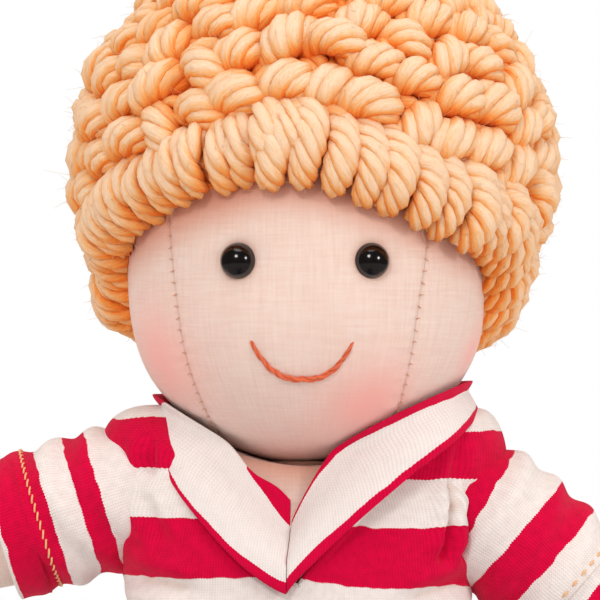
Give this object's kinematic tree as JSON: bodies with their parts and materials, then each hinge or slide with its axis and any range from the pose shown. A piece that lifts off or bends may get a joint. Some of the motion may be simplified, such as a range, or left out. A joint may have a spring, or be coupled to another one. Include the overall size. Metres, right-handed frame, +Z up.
{
  "type": "rag doll",
  "caption": "Seated stuffed cloth doll with a sewn ball head, looped yarn hair, bead eyes, a striped knit jersey, trousers and soft shoes; head, arms and legs move at their seams.",
  "frame": {"origin": "middle of the flat seat of the trousers, on the surface that the doll sits on", "axes": "+Z up, the doll faces -Y with its legs stretched out that way, and its own left hand is on +X"},
  "size_m": [0.2385, 0.1875, 0.218],
  "materials": {
    "skin_cotton": "fine plain-weave cotton, matt",
    "stuffing_fibre": "loose white fibre",
    "hair_yarn": "thick soft plied yarn, matt and fuzzy",
    "eye_bead": "polished black",
    "mouth_thread": "stranded embroidery thread, slight sheen",
    "striped_knit": "fine cotton knit, red and cream stripes",
    "collar_knit": "fine cotton knit, cream with red edges",
    "denim": "soft washed twill",
    "waist_elastic": "gathered over elastic",
    "shoe_felt": "wool felt",
    "shoe_sole": "thick felt sole"
  },
  "bodies": {
    "torso": {"torso_stuffing": "stuffing_fibre", "torso_front": "skin_cotton", "torso_back": "skin_cotton", "jersey_front": "striped_knit", "jersey_back": "striped_knit", "left_collar": "collar_knit", "right_collar": "collar_knit", "trouser_seat": "denim", "waistband": "waist_elastic"},
    "neck": {"neck": "skin_cotton"},
    "head": {"head_stuffing": "stuffing_fibre", "face_panel": "skin_cotton", "back_head_panel": "skin_cotton", "left_cheek_panel": "skin_cotton", "right_cheek_panel": "skin_cotton", "left_eye": "eye_bead", "right_eye": "eye_bead", "mouth_thread": "mouth_thread", "hair_fringe_row": "hair_yarn", "hair_second_row": "hair_yarn", "hair_third_row": "hair_yarn", "hair_top_row": "hair_yarn", "hair_crown": "hair_yarn"},
    "left_arm": {"left_arm_stuffing": "stuffing_fibre", "left_arm_front": "skin_cotton", "left_arm_back": "skin_cotton", "left_sleeve": "striped_knit"},
    "right_arm": {"right_arm_stuffing": "stuffing_fibre", "right_arm_front": "skin_cotton", "right_arm_back": "skin_cotton", "right_sleeve": "striped_knit"},
    "left_leg": {"left_leg_stuffing": "stuffing_fibre", "left_leg_front": "skin_cotton", "left_leg_back": "skin_cotton", "left_trouser_leg": "denim", "left_shoe_upper": "shoe_felt", "left_shoe_sole": "shoe_sole"},
    "right_leg": {"right_leg_stuffing": "stuffing_fibre", "right_leg_front": "skin_cotton", "right_leg_back": "skin_cotton", "right_trouser_leg": "denim", "right_shoe_upper": "shoe_felt", "right_shoe_sole": "shoe_sole"}
  },
  "joints": [
    {"name": "neck_turn", "type": "hinge", "parent": "torso", "child": "neck", "pos_m": [0.002, -0.01175, 0.09], "axis": [0, 0, 1], "range_deg": [-45, 45], "stiffness_Nm_per_rad": 0.12},
    {"name": "head_nod", "type": "hinge", "parent": "neck", "child": "head", "pos_m": [0.002, -0.01175, 0.14], "axis": [1, 0, 0], "range_deg": [-10, 20], "stiffness_Nm_per_rad": 0.3},
    {"name": "left_arm_raise", "type": "hinge", "parent": "torso", "child": "left_arm", "pos_m": [0.043, -0.01175, 0.0855], "axis": [0, -1, 0], "range_deg": [-9, 81]},
    {"name": "right_arm_raise", "type": "hinge", "parent": "torso", "child": "right_arm", "pos_m": [-0.043, -0.01175, 0.09], "axis": [0, 1, 0], "range_deg": [-33, 57]},
    {"name": "left_hip_swing", "type": "hinge", "parent": "torso", "child": "left_leg", "pos_m": [0.019, -0.02475, 0.0164], "axis": [1, 0, 0], "range_deg": [-15, 90]},
    {"name": "right_hip_swing", "type": "hinge", "parent": "torso", "child": "right_leg", "pos_m": [-0.019, -0.02475, 0.0164], "axis": [1, 0, 0], "range_deg": [-15, 90]}
  ]
}
